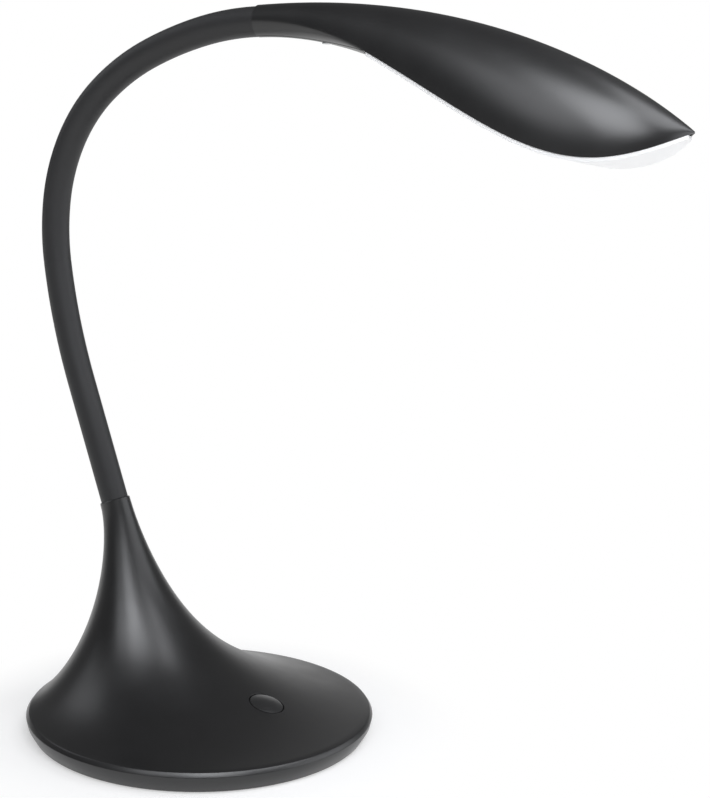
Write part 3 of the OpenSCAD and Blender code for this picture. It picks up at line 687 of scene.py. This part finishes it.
def lay(obj, seat, slope):
    """Lays what was modelled upright onto the sloping skin"""
    nothing_selected()
    bpy.context.view_layer.objects.active = obj
    obj.select_set(True)
    edit()
    bpy.ops.transform.rotate(
        value=-slope, orient_axis="Y", orient_type="GLOBAL", center_override=(0, 0, 0)
    )
    bpy.ops.transform.translate(value=seat)
    leave_edit()


class LAMP_OT_button(bpy.types.Operator):
    """Adds the domed push button"""

    bl_idname = "lamp.button"
    bl_label = "Push button"

    def execute(self, context):
        s = sizes()[0]
        r = s.button_width / 2
        rise = s.button_dome
        ball = (r * r + rise * rise) / (2 * rise)
        profile = [(2 * MM, -4.5 * MM), (2 * MM, -3.6 * MM), (r + 1.1 * MM, -3.6 * MM)]
        profile += [(r + 1.1 * MM, -2.8 * MM), (r, -2.8 * MM), (r, -0.25 * MM)]
        profile += [(r - 0.08 * MM, -0.02 * MM)]
        for k in range(1, 15):
            q = r * (1 - k / 15) - 0.15 * MM * (1 - k / 15)
            profile.append((q, math.sqrt(ball * ball - q * q) + rise - ball))
        rings = [(Vector((0, z)), 0.0, q) for q, z in profile]
        obj = ring_stack("push_button", 96, rings)
        lay(obj, *Horn(s).button_seat())
        smooth(obj, 40)
        finished(obj, finishes()["button_plastic"], "button", "button_plastic", "switch_button")
        return {"FINISHED"}


def bent_tube(name, neck, place, lean, turns):
    """A tube from a place on, through (turn, length) bends"""
    obj = ring_start(name, SLEEVE_SIDES, place, lean, neck.sleeve / 2)
    for turn, length in turns:
        if abs(turn) < STRAIGHT:
            n = Vector((-math.sin(lean), math.cos(lean))) * length / SLEEVE_STEPS
            for _ in range(SLEEVE_STEPS):
                bpy.ops.mesh.extrude_region_move(
                    TRANSFORM_OT_translate={"value": (n.x, 0, n.y)}
                )
        else:
            r = length / turn
            c = place + Vector((math.cos(lean), math.sin(lean))) * r
            bpy.ops.mesh.spin(
                steps=SLEEVE_STEPS, angle=-turn, center=(c.x, 0, c.y), axis=(0, 1, 0)
            )
        place, lean = along_neck(place, lean, turn, length)
    bpy.ops.mesh.select_all(action="SELECT")
    bpy.ops.mesh.normals_make_consistent(inside=False)
    leave_edit()
    m = obj.modifiers.new("wall", "SOLIDIFY")
    m.thickness, m.offset, m.use_even_offset = neck.wall, -1, True
    bpy.ops.object.modifier_apply(modifier=m.name)
    smooth(obj, 50)
    return obj


def stiff_tube(name, neck, joint, turn, side, ball, reach):
    """Half a length that ends at a joint: side -1 lies below it and ends in a ball, side 1 above it with a lip"""
    at, lean = joint
    d = Vector((-math.sin(lean), math.cos(lean)))
    radius, bore = neck.sleeve / 2, neck.sleeve / 2 - neck.wall
    half = neck.length / 2
    outer = []
    for k in range(SLEEVE_STEPS + 1):
        s = JOINT_GAP + (half - JOINT_GAP) * k / SLEEVE_STEPS
        place, tilt = along_neck(at, lean, side * turn * s / neck.length, side * s)
        outer.append((place, tilt, radius))
    inner = [(place, tilt, bore) for place, tilt, _ in outer]
    first, last = (-JOINT_GAP, reach) if side < 0 else (reach, JOINT_GAP)
    xs = [first + (last - first) * k / BALL_STEPS for k in range(BALL_STEPS + 1)]
    round_end = [(at + d * x, lean, max(bore, math.sqrt(ball * ball - x * x))) for x in xs]
    if side < 0:
        rings = outer[::-1] + round_end + inner
    else:
        past_lip = [ring for ring in inner[::-1] if (ring[0] - at).length > reach]
        rings = outer + past_lip + round_end
    obj = ring_start(name, SLEEVE_SIDES, *rings[0])
    for a, b in zip(rings, rings[1:] + rings[:1]):
        ring_next(a, b)
    bpy.ops.mesh.select_all(action="SELECT")
    bpy.ops.mesh.remove_doubles(threshold=1e-6)
    bpy.ops.mesh.normals_make_consistent(inside=False)
    leave_edit()
    smooth(obj, 40)
    return obj


class LAMP_OT_sleeve(bpy.types.Operator):
    """Adds the soft sleeve, in stretches that bend over the joints of the neck or are parted at them"""

    bl_idname = "lamp.sleeve"
    bl_label = "Neck sleeve"

    def execute(self, context):
        base, neck, _, _ = sizes()
        joints = neck_joints(base, neck)
        material = finishes()["sleeve_rubber"]
        half = neck.length / 2
        bodies = ["base"] + [f"link_{i}" for i in range(2, LINKS)] + ["head"]

        def middle(i):
            (place, lean), turn = joints[i], neck.turns[i]
            return along_neck(place, lean, turn / 2, half)

        down = Vector((math.sin(base.lean), -math.cos(base.lean))) * IN_HORN
        first = bent_tube(
            "neck_sleeve_foot",
            neck,
            joints[0][0] + down,
            base.lean,
            [(0, IN_HORN), (neck.turns[0] / 2, half)],
        )
        finished(first, material, "base", "sleeve_rubber", "neck_sleeve_1")
        for i in range(LINKS - 1):
            number = i + 1
            nodes = f"neck_sleeve_{number}", f"neck_sleeve_{number + 1}"
            turns = neck.turns[i], neck.turns[number]
            if number in SPLIT_JOINTS:
                ball = neck.sleeve / 2 - BALL_SET_IN
                for k, (word, side, r, reach) in enumerate(
                    (("below", -1, ball, BALL_REACH), ("above", 1, ball + BALL_CLEARANCE, LIP_REACH))
                ):
                    name = f"neck_sleeve_{word}_joint_{number}"
                    obj = stiff_tube(name, neck, joints[number], turns[k], side, r, reach)
                    finished(obj, material, bodies[i + k], "sleeve_rubber", *nodes)
                continue
            obj = bent_tube(
                f"neck_sleeve_over_joint_{number}", neck, *middle(i), [(turn / 2, half) for turn in turns]
            )
            finished(obj, material, None, "sleeve_rubber", *nodes)
            at, lean = joints[number]
            d = Vector((-math.sin(lean), math.cos(lean)))
            a, b = at - d * half * BLEND_SHARE, at + d * half * BLEND_SHARE
            ends = [(bodies[i], (a.x, 0, a.y)), (bodies[number], (b.x, 0, b.y))]
            if number in TURNED_JOINTS:
                ends.reverse()
            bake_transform(obj)
        last = bent_tube(
            "neck_sleeve_head_end", neck, *middle(LINKS - 1), [(neck.turns[-1] / 2, half)]
        )
        finished(last, material, "head", "sleeve_rubber", "neck_sleeve_10")
        return {"FINISHED"}


def head_tube(name, head, wall, xs, collar):
    """A hollow body through the head's sections: out of its hollow to the collar, and forward again"""
    sides = 72
    nothing_selected()
    bpy.ops.mesh.primitive_circle_add(
        vertices=sides, radius=1.0, location=(0, 0, 0), rotation=(0, math.pi / 2, 0)
    )
    obj = bpy.context.object
    obj.name = obj.data.name = name
    bpy.ops.object.transform_apply(location=True, rotation=True, scale=True)
    edit()
    bpy.ops.transform.rotate(
        value=math.pi / sides, orient_axis="X", orient_type="GLOBAL", center_override=(0, 0, 0)
    )

    def choose(chosen):
        mesh = bmesh.from_edit_mesh(obj.data)
        for v in mesh.verts:
            v.select = v.index in chosen
        mesh.select_flush(True)
        bmesh.update_edit_mesh(obj.data)

    before = 0.0, (1.0, 0.0, 1.0, 1.0)
    stops = [(x, wall) for x in reversed(xs[:-1])] + [(x, 0.0) for x in xs]
    for k, (x, inset) in enumerate(stops):
        x0, (half0, mid0, up0, down0) = before
        half, mid, up, down = head.section(x, inset)
        if k:
            bpy.ops.mesh.extrude_region_move(
                TRANSFORM_OT_translate={"value": (x - x0, 0, mid - mid0)}
            )
        else:
            bpy.ops.transform.translate(value=(x, 0, mid))
        bpy.ops.transform.resize(value=(1, half / half0, 1), center_override=(x, 0, mid))
        mesh = bmesh.from_edit_mesh(obj.data)
        mesh.verts.index_update()
        ring = {v.index for v in mesh.verts if v.select}
        upper = {v.index for v in mesh.verts if v.select and v.co.z > mid}
        for chosen, ratio in ((upper, up / up0), (ring - upper, down / down0)):
            choose(chosen)
            bpy.ops.transform.resize(value=(1, 1, ratio), center_override=(x, 0, mid))
        choose(ring)
        before = x, (half, mid, up, down)
    bpy.ops.mesh.select_all(action="SELECT")
    bpy.ops.mesh.fill_holes(sides=0)
    bpy.ops.mesh.select_all(action="SELECT")
    bpy.ops.mesh.normals_make_consistent(inside=False)
    bpy.ops.transform.translate(value=(collar.x, 0, collar.y))
    leave_edit()
    return obj


def parting_block(head, collar, end, drop):
    """A block whose top follows the head's parting line"""
    start = -4 * MM
    nothing_selected()
    bpy.ops.mesh.primitive_plane_add(size=2, location=(0, 0, 0), rotation=(0, math.pi / 2, 0))
    obj = bpy.context.object
    obj.name = "parting_tool"
    bpy.ops.object.transform_apply(location=True, rotation=True, scale=True)
    edit()
    top = head.parting(0) - drop
    bpy.ops.transform.resize(value=(1, BLOCK_HALF_WIDTH, (top - BLOCK_FLOOR) / 2))
    bpy.ops.transform.translate(value=(start, 0, (top + BLOCK_FLOOR) / 2))
    steps = 80
    x = start
    for k in range(1, steps + 1):
        after = start + (end - start) * k / steps
        z = head.parting(min(after, head.s.length - 0.05 * MM)) - drop
        bpy.ops.mesh.extrude_region_move(TRANSFORM_OT_translate={"value": (after - x, 0, 0)})
        select_where(obj, lambda p: abs(p.x - after) < 1e-6 and p.z > BLOCK_SPLIT)
        bpy.ops.transform.translate(value=(0, 0, z - top))
        select_where(obj, lambda p: abs(p.x - after) < 1e-6)
        x, top = after, z
    bpy.ops.mesh.select_all(action="SELECT")
    bpy.ops.mesh.normals_make_consistent(inside=False)
    bpy.ops.transform.translate(value=(collar.x, 0, collar.y))
    leave_edit()
    return obj


class LAMP_OT_head(bpy.types.Operator):
    """Adds the head's shell and the cover under its stem"""

    bl_idname = "lamp.head"
    bl_label = "Head shell and stem cover"

    def execute(self, context):
        base, neck, s, _ = sizes()
        head = Head(s)
        collar = neck_joints(base, neck)[-1][0]
        material = finishes()["body_plastic"]
        xs = head.stations(0, s.length, 56)
        xs[-1] = s.length - 0.35 * MM
        shell = head_tube("head_shell_moulding", head, s.wall, xs, collar)
        cut(shell, parting_block(head, collar, s.length + 4 * MM, 0.0))
        smooth(shell, 40)
        finished(shell, material, "head", "body_plastic", "head_shell")

        xs = [s.stem_length * 1.1 * k / 24 for k in range(25)]
        cover = head_tube("stem_cover_moulding", head, 1.6 * MM, xs, collar)
        cut(cover, parting_block(head, collar, s.stem_length - 0.8 * MM, 0.25 * MM), "INTERSECT")
        x = 37 * MM
        _, mid, _, under = head.section(x)
        tool = ring_stack(
            "screw_tool",
            48,
            [
                (Vector((x, mid - under - 2 * MM)), 0.0, 2.2 * MM),
                (Vector((x, mid - under + 0.6 * MM)), 0.0, 2.2 * MM),
                (Vector((x, mid - under + 0.6 * MM)), 0.0, 1.2 * MM),
                (Vector((x, mid - under + 5 * MM)), 0.0, 1.2 * MM),
            ],
        )
        nothing_selected()
        bpy.context.view_layer.objects.active = tool
        tool.select_set(True)
        edit()
        bpy.ops.transform.translate(value=(collar.x, 0, collar.y))
        leave_edit()
        cut(cover, tool)
        smooth(cover, 40)
        finished(cover, material, "head", "body_plastic", "stem_cover")
        return {"FINISHED"}


class LAMP_OT_diffuser(bpy.types.Operator):
    """Adds the opal diffuser with its rounded edge and the plug that seats in the shell"""

    bl_idname = "lamp.diffuser"
    bl_label = "Opal diffuser"

    def execute(self, context):
        base, neck, s, _ = sizes()
        head = Head(s)
        collar = neck_joints(base, neck)[-1][0]
        xs = head.stations(s.stem_length + 0.1 * MM, s.length - 2.2 * MM, 60)
        deep = s.diffuser
        nothing_selected()
        bpy.ops.mesh.primitive_plane_add(size=2, location=(0, 0, 0), rotation=(0, math.pi / 2, 0))
        obj = bpy.context.object
        obj.name = obj.data.name = "opal_diffuser"
        bpy.ops.object.transform_apply(location=True, rotation=True, scale=True)
        edit()

        def half_at(x):
            return max(head.section(x)[0] - 0.35 * MM, 0.3 * MM)

        def low_at(x):
            return head.mid(x) - 0.12 * MM - (deep - 0.12 * MM) / 2

        half0, z0, x0 = half_at(xs[0]), low_at(xs[0]), xs[0]
        bpy.ops.transform.resize(value=(1, half0, (deep - 0.12 * MM) / 2))
        bpy.ops.transform.translate(value=(x0, 0, z0))
        for x in xs[1:]:
            half, z = half_at(x), low_at(x)
            bpy.ops.mesh.extrude_region_move(
                TRANSFORM_OT_translate={"value": (x - x0, 0, z - z0)}
            )
            bpy.ops.transform.resize(value=(1, half / half0, 1), center_override=(x, 0, z))
            half0, z0, x0 = half, z, x
        bpy.ops.mesh.select_all(action="SELECT")
        bpy.ops.mesh.normals_make_consistent(inside=False)
        mesh = bmesh.from_edit_mesh(obj.data)
        for f in mesh.faces:
            f.select = f.normal.z > 0.5
        bmesh.update_edit_mesh(obj.data)
        bpy.ops.mesh.select_mode(type="FACE")
        bpy.ops.mesh.inset(thickness=s.wall - 0.05 * MM, depth=0, use_boundary=True)
        bpy.ops.mesh.extrude_region_move(TRANSFORM_OT_translate={"value": (0, 0, 1.3 * MM)})
        bpy.ops.mesh.select_mode(type="VERT")
        bpy.ops.mesh.select_all(action="SELECT")
        bpy.ops.mesh.normals_make_consistent(inside=False)
        bpy.ops.transform.translate(value=(collar.x, 0, collar.y))
        leave_edit()
        round_edges(obj, 0.45 * MM, 3, 50)
        smooth(obj, 35)
        finished(obj, finishes()["opal_plastic"], "head", "opal_plastic", "diffuser")
        return {"FINISHED"}


class LAMP_OT_finishes(bpy.types.Operator):
    """Gives every piece that comes straight from the frame its own finish"""

    bl_idname = "lamp.finishes"
    bl_label = "Finishes of the inner pieces"

    def execute(self, context):
        made = finishes()
        slots = {p["node"]: p["material_slot"] for p in frame["record"]["subparts"]}
        for name, obj in frame["nodes"].items():
            obj.data.materials.clear()
            obj.data.materials.append(made[slots[name]])
        return {"FINISHED"}


# ---------------------------------------------------------------- stage
def soft_box(name, place, aim, size, power, colour):
    """A square lamp that faces a place"""
    light = bpy.data.lights.new(name, "AREA")
    light.shape = "RECTANGLE"
    light.size, light.size_y = size
    light.energy = power
    light.color = colour
    obj = bpy.data.objects.new(name, light)
    obj.location = place
    obj.rotation_euler = (aim - place).to_track_quat("-Z", "Y").to_euler()
    bpy.context.scene.collection.objects.link(obj)


def seen_white(material, share, white, near, far):
    """The camera and mirrors see this share of plain white over the lit floor, and only white far out"""
    t = material.node_tree
    shader, out = t.nodes["Principled BSDF"], t.nodes["Material Output"]
    path = node(t, "ShaderNodeLightPath", (-700, 500))
    seen = node(t, "ShaderNodeMath", (-500, 500), operation="MAXIMUM")
    through = node(t, "ShaderNodeMath", (-500, 650), operation="MAXIMUM")
    place = node(t, "ShaderNodeTexCoord", (-900, 300))
    reach = node(t, "ShaderNodeVectorMath", (-700, 300), operation="LENGTH")
    away = node(t, "ShaderNodeMapRange", (-500, 300), interpolation_type="SMOOTHSTEP")
    away.inputs["From Min"].default_value, away.inputs["From Max"].default_value = near, far
    glow = node(t, "ShaderNodeEmission", (0, -250), Strength=white)
    plain = node(t, "ShaderNodeEmission", (200, -250), Strength=1.0)
    part = node(t, "ShaderNodeMath", (-100, 450), operation="MULTIPLY")
    part.inputs[1].default_value = share
    outer = node(t, "ShaderNodeMath", (-100, 250), operation="MULTIPLY")
    mix = node(t, "ShaderNodeMixShader", (200, 0))
    last = node(t, "ShaderNodeMixShader", (400, 0))
    wire(
        t,
        (path.outputs["Is Camera Ray"], seen.inputs[0]),
        (path.outputs["Is Glossy Ray"], through.inputs[0]),
        (path.outputs["Is Transmission Ray"], through.inputs[1]),
        (through.outputs[0], seen.inputs[1]),
        (place.outputs["Object"], reach.inputs[0]),
        (reach.outputs["Value"], away.inputs["Value"]),
        (seen.outputs[0], part.inputs[0]),
        (seen.outputs[0], outer.inputs[0]),
        (away.outputs["Result"], outer.inputs[1]),
        (part.outputs[0], mix.inputs[0]),
        (shader.outputs[0], mix.inputs[1]),
        (glow.outputs[0], mix.inputs[2]),
        (outer.outputs[0], last.inputs[0]),
        (mix.outputs[0], last.inputs[1]),
        (plain.outputs[0], last.inputs[2]),
        (last.outputs[0], out.inputs["Surface"]),
    )


def room_light(world, ambient, mirror):
    """White for the camera, an even grey for the light, and for mirrors a room that is pale at the back"""
    world.use_nodes = True
    t = world.node_tree
    t.nodes.clear()
    out = node(t, "ShaderNodeOutputWorld", (700, 0))
    path = node(t, "ShaderNodeLightPath", (-200, 400))
    place = node(t, "ShaderNodeTexCoord", (-800, 0))
    back = node(t, "ShaderNodeVectorMath", (-600, 0), operation="DOT_PRODUCT")
    back.inputs[1].default_value = (-0.438, 0.899, 0.0)
    pale = node(t, "ShaderNodeMapRange", (-400, 0), interpolation_type="SMOOTHSTEP")
    pale.inputs["From Min"].default_value, pale.inputs["From Max"].default_value = 0.9, 0.995
    pale.inputs["To Min"].default_value, pale.inputs["To Max"].default_value = mirror
    even = node(t, "ShaderNodeBackground", (0, 200), Color=(0.97, 0.985, 1.0, 1), Strength=ambient)
    room = node(t, "ShaderNodeBackground", (0, 0), Color=(1, 1, 1, 1))
    white = node(t, "ShaderNodeBackground", (0, -200), Color=(1, 1, 1, 1), Strength=1.0)
    first = node(t, "ShaderNodeMixShader", (250, 0))
    second = node(t, "ShaderNodeMixShader", (450, 0))
    wire(
        t,
        (place.outputs["Generated"], back.inputs[0]),
        (back.outputs["Value"], pale.inputs["Value"]),
        (pale.outputs["Result"], room.inputs["Strength"]),
        (path.outputs["Is Glossy Ray"], first.inputs[0]),
        (even.outputs[0], first.inputs[1]),
        (room.outputs[0], first.inputs[2]),
        (path.outputs["Is Camera Ray"], second.inputs[0]),
        (first.outputs[0], second.inputs[1]),
        (white.outputs[0], second.inputs[2]),
        (second.outputs[0], out.inputs["Surface"]),
    )


class LAMP_OT_stage(bpy.types.Operator):
    """Sets up the floor, the soft lights and the camera"""

    bl_idname = "lamp.stage"
    bl_label = "Stage"

    def execute(self, context):
        scene = context.scene
        c = sizes()[3]
        nothing_selected()
        bpy.ops.mesh.primitive_circle_add(vertices=96, radius=6.0, fill_type="NGON", location=(0, 0, 0))
        floor = context.object
        floor.name = "floor"
        paper = plastic("floor_paper", c.floor, 0.9, 400.0, 0.01, 0.004)
        seen_white(paper, 0.36, 1.3, 0.088, 0.15)
        floor.data.materials.append(paper)

        scene.world = scene.world or bpy.data.worlds.new("room")
        room_light(scene.world, 0.06, (0.16, 1.0))
        for name, az, el, size, glow in LAMPS:
            az, el = math.radians(az), math.radians(el)
            way = Vector((math.cos(el) * math.cos(az), math.cos(el) * math.sin(az), math.sin(el)))
            power = glow * math.pi * size[0] * size[1]
            soft_box(name, LAMP_AIM + way * LAMP_FAR, LAMP_AIM, size, power, LAMP_COLOUR)

        cam = bpy.data.cameras.new("camera")
        cam.sensor_fit = "HORIZONTAL"
        cam.sensor_width = SENSOR_WIDTH
        cam.lens = FOCAL_PIXELS / PICTURE_PIXELS * SENSOR_WIDTH
        cam.clip_start = 0.01
        eye = bpy.data.objects.new("camera", cam)
        level = Vector((-math.sin(HEADING), math.cos(HEADING), 0))
        ahead = level * math.cos(PITCH) - Vector((0, 0, math.sin(PITCH)))
        right = Vector((math.cos(HEADING), math.sin(HEADING), 0))
        up = right.cross(ahead)
        x = right * math.cos(ROLL) + up * math.sin(ROLL)
        y = up * math.cos(ROLL) - right * math.sin(ROLL)
        turn = Matrix((x, y, -ahead)).transposed()
        eye.matrix_world = Matrix.Translation(EYE) @ turn.to_4x4()
        scene.collection.objects.link(eye)
        scene.camera = eye
        scene.view_settings.view_transform = "Standard"
        return {"FINISHED"}


class LAMP_PT_panel(bpy.types.Panel):
    """Lists the steps and the sizes"""

    bl_label = "Desk lamp"
    bl_idname = "LAMP_PT_panel"
    bl_space_type = "VIEW_3D"
    bl_region_type = "UI"
    bl_category = "Desk lamp"

    def draw(self, context):
        layout = self.layout
        for step in STEPS:
            layout.operator(step.bl_idname)
        for group in (context.scene.lamp_base, context.scene.lamp_neck, context.scene.lamp_head):
            box = layout.box()
            for key in group.__annotations__:
                box.prop(group, key)
        box = layout.box()
        for key in LampColours.__annotations__:
            box.prop(context.scene.lamp_colours, key)


GROUPS = (BaseSizes, NeckSizes, HeadSizes, LampColours)
STEPS = (
    LAMP_OT_finishes,
    LAMP_OT_base,
    LAMP_OT_button,
    LAMP_OT_sleeve,
    LAMP_OT_head,
    LAMP_OT_diffuser,
    LAMP_OT_stage,
)


def register():
    for c in GROUPS + STEPS + (LAMP_PT_panel,):
        bpy.utils.register_class(c)
    scene = bpy.types.Scene
    scene.lamp_base = bpy.props.PointerProperty(type=BaseSizes)
    scene.lamp_neck = bpy.props.PointerProperty(type=NeckSizes)
    scene.lamp_head = bpy.props.PointerProperty(type=HeadSizes)
    scene.lamp_colours = bpy.props.PointerProperty(type=LampColours)


def unregister():
    for key in ("lamp_base", "lamp_neck", "lamp_head", "lamp_colours"):
        delattr(bpy.types.Scene, key)
    for c in reversed(GROUPS + STEPS + (LAMP_PT_panel,)):
        bpy.utils.unregister_class(c)


def main():
    register()
    bpy.ops.lamp.finishes()
    bpy.ops.lamp.base()
    bpy.ops.lamp.button()
    bpy.ops.lamp.sleeve()
    bpy.ops.lamp.head()
    bpy.ops.lamp.diffuser()
    bpy.ops.lamp.stage()


if __name__ == "__main__":
    main()
